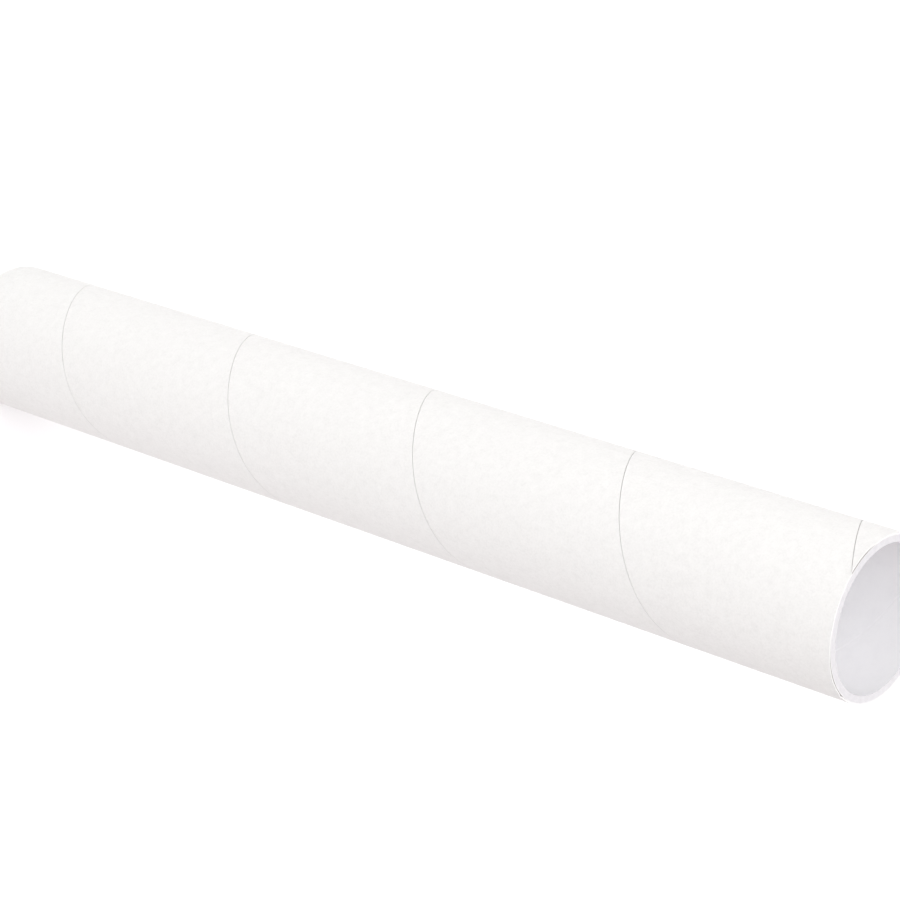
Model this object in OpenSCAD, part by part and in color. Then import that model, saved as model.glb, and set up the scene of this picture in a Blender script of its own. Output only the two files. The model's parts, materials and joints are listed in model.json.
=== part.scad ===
// Spiral-wound cardboard mailing tube, open at both ends.
// Strips of paper are wound round a mandrel and glued into one stiff wall, then cut square to length.
// The tube stands on one cut end: Z runs up its axis, and the origin is the centre of the lower end.

/* [Tube] */
// Clear diameter of the bore
bore_d = 50; // [35:0.5:80]
// Thickness of the wound and glued wall
wall_t = 3; // [2:0.1:5]
// Length from cut end to cut end
tube_len = 410; // [250:5:600]

/* [Winding] */
// Distance that every ply climbs in one turn
lead = 90; // [70:1:140]
// Thickness of the outer ply, and so the depth of its seam
outer_ply_t = 0.4; // [0.2:0.05:0.6]
// Thickness of the ply that lines the bore, and so the depth of its seam
inner_ply_t = 0.3; // [0.2:0.05:0.6]
// Gap left where a ply's two edges meet, measured square to the seam
seam_gap = 0.2; // [0.15:0.05:0.6]
// Where the outer seam meets the upper end, in degrees round from +X
outer_seam_angle = 247; // [0:1:359]
// Where the bore's seam meets the upper end, in degrees round from +X
inner_seam_angle = 148; // [0:1:359]

/* [Hidden] */
paper_white = [0.96, 0.955, 0.945];
bore_r = bore_d / 2;
outer_r = bore_r + wall_t;
round_facets = 128;
// Straight steps in one turn of a seam
seam_steps = 60;
// How far a cutter stands clear of the surface that it opens, and runs on past each end
cutter_clear = 0.3;
cutter_overrun = 3;

// A point at a given radius, angle round the axis and height
function round_axis(r, angle, z) = [r * cos(angle), r * sin(angle), z];

// A square-sided thread from radius r_low to r_high, which climbs counter-clockwise
// and meets the tube's upper end at top_angle
module seam_cutter(r_low, r_high, top_angle) {
    climb = tube_len + 2 * cutter_overrun;
    steps = ceil(seam_steps * climb / lead);
    // The gap is square to the seam, so it is a little wider along the axis
    half = seam_gap / 2 / cos(atan(lead / (2 * PI * r_low)));
    rings = [
        for (i = [0 : steps])
            let (
                z = -cutter_overrun + climb * i / steps,
                angle = top_angle - 360 * (tube_len - z) / lead
            )
            each [
                round_axis(r_low, angle, z - half),
                round_axis(r_high, angle, z - half),
                round_axis(r_high, angle, z + half),
                round_axis(r_low, angle, z + half)
            ]
    ];
    sides = [
        for (i = [0 : steps - 1], side = [0 : 3])
            let (
                a = 4 * i + side,
                b = 4 * i + (side + 1) % 4
            )
            each [[a, a + 4, b], [b, a + 4, b + 4]]
    ];
    last = 4 * steps;
    ends = [[0, 1, 2], [0, 2, 3], [last, last + 2, last + 1], [last, last + 3, last + 2]];
    polyhedron(points = rings, faces = concat(sides, ends), convexity = 10);
}

// The wall before its seams are opened, with both ends cut square
module wound_wall() {
    difference() {
        cylinder(h = tube_len, r = outer_r, $fn = round_facets);
        translate([0, 0, -cutter_overrun])
            cylinder(h = tube_len + 2 * cutter_overrun, r = bore_r, $fn = round_facets);
    }
}

module tube() {
    color(paper_white)
        difference() {
            wound_wall();
            seam_cutter(outer_r - outer_ply_t, outer_r + cutter_clear, outer_seam_angle);
            seam_cutter(bore_r - cutter_clear, bore_r + inner_ply_t, inner_seam_angle);
        }
}

tube();
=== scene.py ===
import json
import math

import bpy
from mathutils import Matrix, Vector


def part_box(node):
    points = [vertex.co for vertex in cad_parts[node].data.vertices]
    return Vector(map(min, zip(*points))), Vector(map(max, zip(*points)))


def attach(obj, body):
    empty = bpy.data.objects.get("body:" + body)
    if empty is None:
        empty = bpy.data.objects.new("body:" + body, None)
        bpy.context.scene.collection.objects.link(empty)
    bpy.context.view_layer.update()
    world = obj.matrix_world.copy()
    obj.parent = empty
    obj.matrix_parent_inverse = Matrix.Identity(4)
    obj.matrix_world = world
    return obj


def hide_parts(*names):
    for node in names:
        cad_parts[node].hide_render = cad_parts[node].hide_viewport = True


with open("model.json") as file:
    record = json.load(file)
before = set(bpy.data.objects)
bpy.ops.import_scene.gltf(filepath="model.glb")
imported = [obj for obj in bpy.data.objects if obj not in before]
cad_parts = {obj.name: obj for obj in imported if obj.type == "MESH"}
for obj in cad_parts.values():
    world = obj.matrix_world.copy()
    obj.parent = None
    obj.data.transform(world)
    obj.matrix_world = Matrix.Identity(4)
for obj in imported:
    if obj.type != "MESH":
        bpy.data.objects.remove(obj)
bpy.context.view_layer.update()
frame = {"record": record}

# The tube stands on z = 0 with its axis on Z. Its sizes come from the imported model.
mm = 0.001
mountSizes = {mount["name"]: mount["dims"] for mount in frame["record"]["mounts"]}
boreRadius = mountSizes["bore"]["r_mm"] * mm
outerRadius = mountSizes["outside"]["r_mm"] * mm
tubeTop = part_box("tube")[1].z

# How the plies are wound: lengths in metres, angles in degrees round from +X
winding = {
    "lead": 90 * mm,          # climb of every ply in one turn
    "outerPly": 0.4 * mm,
    "borePly": 0.3 * mm,
    "outerSeamAngle": 247,    # where each seam meets the upper end
    "boreSeamAngle": 148,
}

samePlace = 1e-6              # metres: two places nearer than this are one
hairline = 1e-7               # metres: finer still, so that the strips' ends are cut true
roundFace = 0.96              # cosine: a face turned this nearly outwards or inwards is on a round side


def deselectAll():
    if bpy.context.object and bpy.context.object.mode != "OBJECT":
        bpy.ops.object.mode_set(mode="OBJECT")
    bpy.ops.object.select_all(action="DESELECT")


def editMode(piece):
    bpy.context.view_layer.objects.active = piece
    bpy.ops.object.mode_set(mode="EDIT")


def objectMode():
    bpy.ops.object.mode_set(mode="OBJECT")


def chooseEdges(piece, wanted):
    # Selects the edges whose two ends both pass the test, from object mode
    mesh = piece.data
    for vertex in mesh.vertices:
        vertex.select = False
    for edge in mesh.edges:
        ends = [mesh.vertices[index] for index in edge.vertices]
        edge.select = all(wanted(end.co) for end in ends)
        if edge.select:
            for end in ends:
                end.select = True


def applyModifiers(piece):
    bpy.context.view_layer.objects.active = piece
    for modifier in list(piece.modifiers):
        bpy.ops.object.modifier_apply(modifier=modifier.name)


def placeInMesh(piece):
    deselectAll()
    piece.select_set(True)
    bpy.context.view_layer.objects.active = piece
    bpy.ops.object.transform_apply(location=True, rotation=True, scale=True)


def feed(tree, socket, value):
    # Links an output to a socket, or sets the socket to a number or an RGB colour. None leaves it as it is.
    if isinstance(value, bpy.types.NodeSocket):
        tree.links.new(value, socket)
    elif isinstance(value, tuple):
        socket.default_value = (*value, 1)
    elif value is not None:
        socket.default_value = value


def mathNode(tree, operation, first, second=None, third=None):
    node = tree.nodes.new("ShaderNodeMath")
    node.operation = operation
    for socket, value in zip(node.inputs, (first, second, third)):
        feed(tree, socket, value)
    return node.outputs["Value"]


def mapRange(tree, value, low, high, first, last, interpolation="LINEAR"):
    # Runs from first to last as the value runs from low to high
    node = tree.nodes.new("ShaderNodeMapRange")
    node.interpolation_type = interpolation
    for name, number in zip(("From Min", "From Max", "To Min", "To Max"), (low, high, first, last)):
        node.inputs[name].default_value = number
    feed(tree, node.inputs["Value"], value)
    return node.outputs["Result"]


def mixNode(tree, kind, factor, first, second):
    # first where the factor is 0 and second where it is 1
    node = tree.nodes.new("ShaderNodeMix")
    node.data_type = kind
    for name, value in zip(("Factor", "A", "B"), (factor, first, second)):
        feed(tree, node.inputs[name], value)
    return node.outputs["Result"]


cameraSetup = {
    "azimuth": -0.39,
    "elevation": 38.08,
    "roll": 107.82,           # the tube stands, and the camera is rolled so that it lies across the view
    "distance": 1.006,
    "aim": (-0.0091, 0.0, 0.227),
    "lens": 114.56,
    "sensorWidth": 36,
    "clip": (0.01, 20),
}


def makeCamera():
    azimuth = math.radians(cameraSetup["azimuth"])
    elevation = math.radians(cameraSetup["elevation"])
    back = Vector((
        math.sin(azimuth) * math.cos(elevation),
        -math.cos(azimuth) * math.cos(elevation),
        math.sin(elevation),
    ))
    roll = Matrix.Rotation(math.radians(cameraSetup["roll"]), 3, "Z")
    turn = back.to_track_quat("Z", "Y").to_matrix() @ roll
    deselectAll()
    bpy.ops.object.camera_add(location=Vector(cameraSetup["aim"]) + back * cameraSetup["distance"],
                              rotation=turn.to_euler())
    camera = bpy.context.object
    camera.name = "studioCamera"
    camera.data.lens = cameraSetup["lens"]
    camera.data.sensor_width = cameraSetup["sensorWidth"]
    camera.data.clip_start, camera.data.clip_end = cameraSetup["clip"]
    bpy.context.scene.camera = camera
    return turn


cameraTurn = makeCamera()
print("camera placed")


# Floor, world and lamps. Directions and the lamps' places are (right, up, back) as the camera stands,
# and cameraTurn turns them into the tube's frame.
studio = {
    "worldStrength": 0.325,
    "worldColour": (1.0, 1.0, 1.0),
    "openSide": (0.75, -0.24, 0.62),    # a broad soft light over the open end
    "openSideStart": 0.3,               # cosine at which it begins
    "openSideGain": 1.28,
    "lowSide": (0.0, -0.94, -0.30),     # the side below the tube in the camera's view
    "lowSideStart": 0.0,
    "lowColour": (1.0, 0.87, 0.90),
    "backdropStrength": 1.0,            # what shows past the floor's edge is plain white
    "floorSize": 12,
    "floorColour": (0.93, 0.93, 0.935),
    "floorRoughness": 0.9,
    "floorSpecular": 0.1,
    "lampAim": 0.85,                    # share of the tube's height that the lamps face
    "lamps": {                          # place, watts, side of the square in metres
        "mouthLamp": ((1.50, 0.70, 1.30), 8.8, 1.4),
        "frontLamp": ((0.56, 0.12, 1.78), 12.0, 1.1),
    },
}


def worldLobe(tree, coords, direction, start):
    # 0 away from a direction and 1 towards it, with a soft edge
    dot = tree.nodes.new("ShaderNodeVectorMath")
    dot.operation = "DOT_PRODUCT"
    dot.inputs[1].default_value = (cameraTurn @ Vector(direction)).normalized()
    feed(tree, dot.inputs[0], coords)
    return mapRange(tree, dot.outputs["Value"], start, 1.0, 0.0, 1.0, "SMOOTHERSTEP")


def makeWorld():
    world = bpy.data.worlds.new("studioWorld")
    bpy.context.scene.world = world
    world.use_nodes = True
    tree = world.node_tree
    background = tree.nodes["Background"]
    coords = tree.nodes.new("ShaderNodeTexCoord").outputs["Generated"]
    towards = worldLobe(tree, coords, studio["openSide"], studio["openSideStart"])
    below = worldLobe(tree, coords, studio["lowSide"], studio["lowSideStart"])
    cameraRay = tree.nodes.new("ShaderNodeLightPath").outputs["Is Camera Ray"]
    strength = mathNode(tree, "MULTIPLY_ADD", towards, studio["openSideGain"], studio["worldStrength"])
    feed(tree, background.inputs["Strength"],
         mixNode(tree, "FLOAT", cameraRay, strength, studio["backdropStrength"]))
    feed(tree, background.inputs["Color"],
         mixNode(tree, "RGBA", below, studio["worldColour"], studio["lowColour"]))


def makeFloor():
    deselectAll()
    bpy.ops.mesh.primitive_plane_add(size=studio["floorSize"], location=(0, 0, 0))
    floor = bpy.context.object
    floor.name = "floor"
    paper = bpy.data.materials.new("floorPaper")
    paper.use_nodes = True
    shader = paper.node_tree.nodes["Principled BSDF"]
    shader.inputs["Base Color"].default_value = (*studio["floorColour"], 1)
    shader.inputs["Roughness"].default_value = studio["floorRoughness"]
    shader.inputs["Specular IOR Level"].default_value = studio["floorSpecular"]
    floor.data.materials.append(paper)


def softbox(name, place, energy, size):
    # A square lamp that faces the tube near its open end
    target = Vector((0, 0, tubeTop * studio["lampAim"]))
    place = target + cameraTurn @ Vector(place)
    bpy.ops.object.light_add(type="AREA", location=place,
                             rotation=(place - target).to_track_quat("Z", "Y").to_euler())
    lamp = bpy.context.object
    lamp.name = name
    lamp.data.energy = energy
    lamp.data.size = size
    lamp.visible_camera = False


makeWorld()
makeFloor()
for name, (place, energy, size) in studio["lamps"].items():
    softbox(name, place, energy, size)
bpy.context.scene.view_settings.view_transform = "Standard"
print("studio lit")


outerStrip = {
    "steps": 240,             # straight lengths in one turn
    "rows": 40,               # rows of faces across the strip's face
    "edgeRound": 0.07 * mm,
    "seamGap": 0.14 * mm,     # between the strip's two edges, square to the seam
}
boreStrip = {
    "steps": 200,
    "rows": 20,
    "edgeRound": 0.03 * mm,
    "seamGap": 0.05 * mm,
}

# Where the outer paper has come away from the board at the upper end: a sharp corner by the seam, a length
# of edge and a small bruise. Angles are in degrees, and a lift dies away over its reach down the tube.
paperLift = {
    "corner": {"start": 214, "full": 232, "lift": 0.48 * mm, "reach": 2.5 * mm},
    "edge": {"middle": 319, "halfWidth": 38, "lift": 0.30 * mm, "reach": 5 * mm},
    "bruise": {"middle": 340, "halfWidth": 2.4, "lift": 0.40 * mm, "reach": 0.5 * mm},
    # depths of the cuts at which the paper bends
    "loops": (0.4 * mm, 1 * mm, 1.8 * mm, 3 * mm, 4.5 * mm, 6.5 * mm, 9 * mm),
    "depth": 20 * mm,         # nothing lifts below this
}


def cutSquare(piece):
    # Merges the strip's doubled points and saws off what stands past the tube's two ends
    editMode(piece)
    bpy.ops.mesh.select_all(action="SELECT")
    bpy.ops.mesh.remove_doubles(threshold=hairline)
    for level, outwards in ((tubeTop, 1), (0, -1)):
        bpy.ops.mesh.select_all(action="SELECT")
        bpy.ops.mesh.bisect(plane_co=(0, 0, level), plane_no=(0, 0, outwards), use_fill=True,
                            clear_outer=True, threshold=hairline)
    bpy.ops.mesh.select_all(action="SELECT")
    bpy.ops.mesh.normals_make_consistent(inside=False)
    bpy.ops.mesh.select_all(action="DESELECT")
    objectMode()


def windStrip(name, low, high, seamAngle, face, strip):
    # A strip of paper between the radii low and high, wound up the tube and cut square at both ends.
    # face is the radius of its visible side, which gets the rows.
    lead = winding["lead"]
    halfGap = strip["seamGap"] / 2 / math.cos(math.atan(lead / (2 * math.pi * high)))
    turns = math.ceil(tubeTop / lead) + 2
    start = tubeTop - (turns - 1) * lead
    deselectAll()
    bpy.ops.mesh.primitive_plane_add(size=1, location=((low + high) / 2, 0, start + lead / 2),
                                     rotation=(math.pi / 2, 0, 0))
    paper = bpy.context.object
    paper.name = name
    paper.scale = (high - low, lead - 2 * halfGap, 1)
    placeInMesh(paper)
    editMode(paper)
    bpy.ops.mesh.select_all(action="SELECT")
    bpy.ops.mesh.bevel(offset=strip["edgeRound"], segments=2, affect="VERTICES")
    bpy.ops.mesh.delete(type="ONLY_FACE")
    objectMode()
    chooseEdges(paper, lambda place: abs(place.x - face) < samePlace)
    editMode(paper)
    bpy.ops.mesh.subdivide(number_cuts=strip["rows"] - 1)
    objectMode()
    screw = paper.modifiers.new("wind", "SCREW")
    screw.axis = "Z"
    screw.angle = 2 * math.pi
    screw.screw_offset = lead
    screw.iterations = turns
    screw.steps = screw.render_steps = strip["steps"]
    screw.use_merge_vertices = False
    applyModifiers(paper)
    paper.rotation_euler = (0, 0, math.radians(seamAngle))
    placeInMesh(paper)
    cutSquare(paper)
    return paper


def easeIn(value):
    value = min(max(value, 0.0), 1.0)
    return value * value * (3 - 2 * value)


def liftAt(angle, depth):
    # How far the outer paper stands off, by the angle in degrees and the depth below the end
    corner = paperLift["corner"]
    seamDepth = winding["lead"] * (winding["outerSeamAngle"] - angle) / 360
    lift = 0.0
    if corner["start"] < angle < winding["outerSeamAngle"] and depth < seamDepth:
        rise = easeIn((angle - corner["start"]) / (corner["full"] - corner["start"]))
        lift += corner["lift"] * rise * math.exp(-depth / corner["reach"])
    for spot in (paperLift["edge"], paperLift["bruise"]):
        away = abs((angle - spot["middle"] + 180) % 360 - 180)
        lift += spot["lift"] * easeIn(1 - away / spot["halfWidth"]) * math.exp(-depth / spot["reach"])
    return lift


def liftPaper(paper):
    # Cuts near the end first, so that the paper can bend there
    editMode(paper)
    for depth in paperLift["loops"]:
        bpy.ops.mesh.select_all(action="SELECT")
        bpy.ops.mesh.bisect(plane_co=(0, 0, tubeTop - depth), plane_no=(0, 0, 1), threshold=hairline)
    bpy.ops.mesh.select_all(action="DESELECT")
    objectMode()
    for vertex in paper.data.vertices:
        depth = tubeTop - vertex.co.z
        if depth < paperLift["depth"]:
            angle = math.degrees(math.atan2(vertex.co.y, vertex.co.x)) % 360
            radius = math.hypot(vertex.co.x, vertex.co.y)
            grown = 1 + liftAt(angle, depth) / radius
            vertex.co.x *= grown
            vertex.co.y *= grown


def flattenEnds(piece):
    # Cut ends and paper edges shade flat, and the round faces stay smooth
    for face in piece.data.polygons:
        outward = Vector((face.center.x, face.center.y, 0)).normalized()
        face.use_smooth = abs(face.normal.dot(outward)) > roundFace
    flatEdges = {key for face in piece.data.polygons if not face.use_smooth for key in face.edge_keys}
    for edge in piece.data.edges:
        edge.use_edge_sharp = edge.key in flatEdges


outerPaper = windStrip("outer_paper", outerRadius - winding["outerPly"], outerRadius,
                       winding["outerSeamAngle"], outerRadius, outerStrip)
borePaper = windStrip("bore_paper", boreRadius, boreRadius + winding["borePly"],
                      winding["boreSeamAngle"], boreRadius, boreStrip)
liftPaper(outerPaper)
flattenEnds(outerPaper)
flattenEnds(borePaper)
print("strips wound:", len(outerPaper.data.polygons), len(borePaper.data.polygons))


board = {
    "plies": 5,
    "ringsPerPly": 4,
    "plyGroove": 0.04 * mm,   # depth of the glue line between two plies at a cut end
    "steps": 360,
}


def buildBoard():
    # The section is drawn as an outline, grooved at its two ends and spun round the axis
    low = boreRadius + winding["borePly"]
    high = outerRadius - winding["outerPly"]
    deselectAll()
    bpy.ops.mesh.primitive_plane_add(size=1, location=((low + high) / 2, 0, tubeTop / 2),
                                     rotation=(math.pi / 2, 0, 0))
    wall = bpy.context.object
    wall.name = "board_wall"
    wall.scale = (high - low, tubeTop, 1)
    placeInMesh(wall)
    editMode(wall)
    bpy.ops.mesh.select_all(action="SELECT")
    bpy.ops.mesh.delete(type="ONLY_FACE")
    objectMode()
    for level in (0, tubeTop):
        chooseEdges(wall, lambda place: abs(place.z - level) < samePlace)
        editMode(wall)
        bpy.ops.mesh.subdivide(number_cuts=board["plies"] * board["ringsPerPly"] - 1)
        objectMode()
    ply = (high - low) / board["plies"]
    for vertex in wall.data.vertices:
        joint = round((vertex.co.x - low) / ply)
        atJoint = abs(vertex.co.x - low - joint * ply) < samePlace
        if atJoint and 0 < joint < board["plies"]:
            vertex.co.z += board["plyGroove"] * (1 if vertex.co.z < tubeTop / 2 else -1)
    spin = wall.modifiers.new("spin", "SCREW")
    spin.axis = "Z"
    spin.angle = 2 * math.pi
    spin.screw_offset = 0
    spin.steps = spin.render_steps = board["steps"]
    spin.use_merge_vertices = True
    spin.merge_threshold = samePlace
    applyModifiers(wall)
    editMode(wall)
    bpy.ops.mesh.select_all(action="SELECT")
    bpy.ops.mesh.remove_doubles(threshold=samePlace)
    bpy.ops.mesh.normals_make_consistent(inside=False)
    bpy.ops.mesh.select_all(action="DESELECT")
    objectMode()
    return wall


boardWall = buildBoard()
flattenEnds(boardWall)
print("board built:", len(boardWall.data.polygons))


def newMaterial(name):
    material = bpy.data.materials.new(name)
    material.use_nodes = True
    tree = material.node_tree
    coords = tree.nodes.new("ShaderNodeTexCoord").outputs["Object"]
    return material, tree, coords, tree.nodes["Principled BSDF"]


def addNoise(tree, coords, scale, detail, roughness, distortion=0.0):
    texture = tree.nodes.new("ShaderNodeTexNoise")
    texture.inputs["Scale"].default_value = scale
    texture.inputs["Detail"].default_value = detail
    texture.inputs["Roughness"].default_value = roughness
    texture.inputs["Distortion"].default_value = distortion
    feed(tree, texture.inputs["Vector"], coords)
    return texture.outputs["Fac"]


def addRamp(tree, source, stops):
    ramp = tree.nodes.new("ShaderNodeValToRGB")
    elements = ramp.color_ramp.elements
    while len(elements) < len(stops):
        elements.new(0.5)
    for element, (position, colour) in zip(elements, stops):
        element.position = position
        element.color = (*colour, 1)
    feed(tree, ramp.inputs["Fac"], source)
    return ramp.outputs["Color"]


def addBump(tree, height, strength, distance, below=None):
    bump = tree.nodes.new("ShaderNodeBump")
    bump.inputs["Strength"].default_value = strength
    bump.inputs["Distance"].default_value = distance
    feed(tree, bump.inputs["Height"], height)
    feed(tree, bump.inputs["Normal"], below)
    return bump.outputs["Normal"]


def scaleColour(tree, colour, factor):
    node = tree.nodes.new("ShaderNodeVectorMath")
    node.operation = "SCALE"
    feed(tree, node.inputs[0], colour)
    feed(tree, node.inputs["Scale"], factor)
    return node.outputs["Vector"]


def splitPlace(tree, coords):
    parts = tree.nodes.new("ShaderNodeSeparateXYZ")
    feed(tree, parts.inputs["Vector"], coords)
    return parts.outputs["X"], parts.outputs["Y"], parts.outputs["Z"]


def seamDistance(tree, coords, seamAngle, radius):
    # Distance in metres from the seam, square to it, worked out from the place on the tube
    lead = winding["lead"]
    x, y, z = splitPlace(tree, coords)
    turn = mathNode(tree, "ARCTAN2", y, x)
    climb = mathNode(tree, "MULTIPLY_ADD", z, 1 / lead, seamAngle / 360 - tubeTop / lead)
    phase = mathNode(tree, "MULTIPLY_ADD", turn, -1 / (2 * math.pi), climb)
    wrapped = mathNode(tree, "WRAP", phase, 0.5, -0.5)
    slope = math.cos(math.atan(lead / (2 * math.pi * radius)))
    return mathNode(tree, "MULTIPLY", mathNode(tree, "ABSOLUTE", wrapped), lead * slope)


def atEnds(tree, coords, reach):
    # 1 within a short reach of the two sawn ends and 0 between them
    height = splitPlace(tree, coords)[2]
    fromMiddle = mathNode(tree, "ABSOLUTE", mathNode(tree, "SUBTRACT", height, tubeTop / 2))
    return mathNode(tree, "GREATER_THAN", fromMiddle, tubeTop / 2 - reach)


# The finishes. Tones run dark to light. Sizes, widths, reaches and depths are in millimetres, and a scale
# counts the noise's cells in a metre. cutTone is the tone of a paper's sawn end.
outerPaperLook = {
    "tones": [(0.808, 0.803, 0.788), (0.852, 0.847, 0.832), (0.884, 0.879, 0.864)],
    "cutTone": (0.74, 0.735, 0.73),
    "fibre": 0.75, "cloud": 2.8, "fibreShare": 0.6,
    "roughness": 0.62, "fibreBump": 1.0, "cloudBump": 0.5,
    # painted shade: the outer paper is darker along its seam, for the shadow in the gap between the strip's
    # edges
    "seamWidth": 0.30, "seamShadeAndHighlightTone": 0.90,
}
borePaperLook = {
    "tones": [(0.91, 0.905, 0.922), (0.935, 0.93, 0.945), (0.95, 0.945, 0.958)],
    "cutTone": (0.605, 0.597, 0.612),
    "fibre": 1.2, "cloud": 6.0, "fibreShare": 0.4,
    "roughness": 0.48, "fibreBump": 0.2, "cloudBump": 0.3,
    # the bore paper is lighter along its seam, partly its own pale edge and partly a painted highlight for
    # a lapped edge that is not built
    "seamWidth": 0.45, "seamShadeAndHighlightTone": 1.05,
}
paperTexture = {              # what both papers share
    "fibreNoise": {"detail": 2.5, "roughness": 0.65, "distortion": 0.3},
    "cloudNoise": {"detail": 4.0, "roughness": 0.55},
    "grainNoise": {"scale": 4000, "detail": 2.0, "roughness": 0.6},
    "toneStops": (0.32, 0.50, 0.68),     # where the tones stand on the blended noise
    "blendRange": (0.3, 0.7),            # over which the roughness falls
    "roughnessSpread": 0.08,
    "seamCore": 0.4,                     # share of the seam's width that has its full tone
    "cloudDepth": 0.10, "fibreDepth": 0.06, "grainDepth": 0.01,
    "grainBump": 0.25,
    "cutReach": 0.01,
    "specular": 0.35,
}


def whitePaper(name, look, seamAngle, radius):
    # Pressed fibres over soft clouds, a painted line along the seam and plain sawn ends. On the outer paper
    # the line is darker, painted shade for the seam's gap; on the bore it is lighter, partly the paper's
    # own pale edge and partly a painted highlight for a lapped edge that is not built.
    material, tree, coords, shader = newMaterial(name)
    texture = paperTexture
    fibre = addNoise(tree, coords, 1 / (look["fibre"] * mm), **texture["fibreNoise"])
    cloud = addNoise(tree, coords, 1 / (look["cloud"] * mm), **texture["cloudNoise"])
    grain = addNoise(tree, coords, **texture["grainNoise"])
    cloudPart = mathNode(tree, "MULTIPLY", cloud, 1 - look["fibreShare"])
    blend = mathNode(tree, "MULTIPLY_ADD", fibre, look["fibreShare"], cloudPart)
    tone = addRamp(tree, blend, list(zip(texture["toneStops"], look["tones"])))
    seamWidth = look["seamWidth"] * mm
    # Tone along the seam: painted shade on the outer paper, and on the bore partly a painted highlight
    seamShadeAndHighlight = mapRange(tree, seamDistance(tree, coords, seamAngle, radius),
                        seamWidth * texture["seamCore"], seamWidth, look["seamShadeAndHighlightTone"], 1.0, "SMOOTHSTEP")
    ends = atEnds(tree, coords, texture["cutReach"] * mm)
    feed(tree, shader.inputs["Base Color"],
         mixNode(tree, "RGBA", ends, scaleColour(tree, tone, seamShadeAndHighlight), look["cutTone"]))
    roughest = look["roughness"] + texture["roughnessSpread"]
    smoothest = look["roughness"] - texture["roughnessSpread"]
    feed(tree, shader.inputs["Roughness"],
         mapRange(tree, blend, *texture["blendRange"], roughest, smoothest))
    coarse = addBump(tree, cloud, look["cloudBump"], texture["cloudDepth"] * mm)
    fine = addBump(tree, fibre, look["fibreBump"], texture["fibreDepth"] * mm, coarse)
    feed(tree, shader.inputs["Normal"],
         addBump(tree, grain, texture["grainBump"], texture["grainDepth"] * mm, fine))
    shader.inputs["Specular IOR Level"].default_value = texture["specular"]
    return material


boardLook = {
    "palePlyTone": (0.69, 0.685, 0.69),      # the ply next to the outer paper
    "palePly": 0.30,                         # its thickness
    "palePlyEdge": 0.08,                     # half the width over which its tone changes
    "coreTone": (0.605, 0.597, 0.612),
    "gapShadeTone": (0.48, 0.46, 0.44),          # painted shade: the board's side is painted dark for the gap's shadow where the paper has come away
    "fibreNoise": {"scale": 2600, "detail": 3.0, "roughness": 0.65},
    "cloudNoise": {"scale": 500, "detail": 3.0, "roughness": 0.5},
    "fibreShare": 0.5,
    "fibreRange": (0.35, 0.65),              # over which the tone changes
    "fibreChange": 0.06,
    "fibreBump": 0.4, "fibreDepth": 0.05,
    "cutReach": 0.06,                        # deeper than the glue lines
    "roughness": 0.9,
    "specular": 0.2,
}


def cutBoard(name):
    # A sawn end: one pale ply outside, the rest a little greyer, short fibres all over. Away from the ends
    # the board's sides get a dark tone, painted shade for the gap where the outer paper has come away.
    material, tree, coords, shader = newMaterial(name)
    look = boardLook
    flat = tree.nodes.new("ShaderNodeCombineXYZ")
    for socket, part in zip(flat.inputs, splitPlace(tree, coords)[:2]):
        feed(tree, socket, part)
    radius = tree.nodes.new("ShaderNodeVectorMath")
    radius.operation = "LENGTH"
    feed(tree, radius.inputs[0], flat.outputs["Vector"])
    edge = outerRadius - winding["outerPly"] - look["palePly"] * mm
    half = look["palePlyEdge"] * mm
    pale = mapRange(tree, radius.outputs["Value"], edge - half, edge + half, 0.0, 1.0, "SMOOTHSTEP")
    core = addRamp(tree, pale, [(0.0, look["coreTone"]), (1.0, look["palePlyTone"])])
    fibre = addNoise(tree, coords, **look["fibreNoise"])
    cloud = addNoise(tree, coords, **look["cloudNoise"])
    cloudPart = mathNode(tree, "MULTIPLY", cloud, 1 - look["fibreShare"])
    blend = mathNode(tree, "MULTIPLY_ADD", fibre, look["fibreShare"], cloudPart)
    change = mapRange(tree, blend, *look["fibreRange"], 1 - look["fibreChange"], 1 + look["fibreChange"])
    # Painted shade: everywhere but the sawn ends the board is painted dark, and this shows in the gap under
    # the lifted paper
    ends = atEnds(tree, coords, look["cutReach"] * mm)
    feed(tree, shader.inputs["Base Color"],
         mixNode(tree, "RGBA", ends, look["gapShadeTone"], scaleColour(tree, core, change)))
    feed(tree, shader.inputs["Normal"], addBump(tree, fibre, look["fibreBump"], look["fibreDepth"] * mm))
    shader.inputs["Roughness"].default_value = look["roughness"]
    shader.inputs["Specular IOR Level"].default_value = look["specular"]
    return material


outerPaper.data.materials.append(
    whitePaper("outerWhitePaper", outerPaperLook, winding["outerSeamAngle"], outerRadius))
borePaper.data.materials.append(
    whitePaper("boreWhitePaper", borePaperLook, winding["boreSeamAngle"], boreRadius))
boardWall.data.materials.append(cutBoard("cutBoard"))
print("papers and board dressed")

for piece in (outerPaper, borePaper, boardWall):
    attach(piece, "root")
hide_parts("tube")
print("pieces placed")
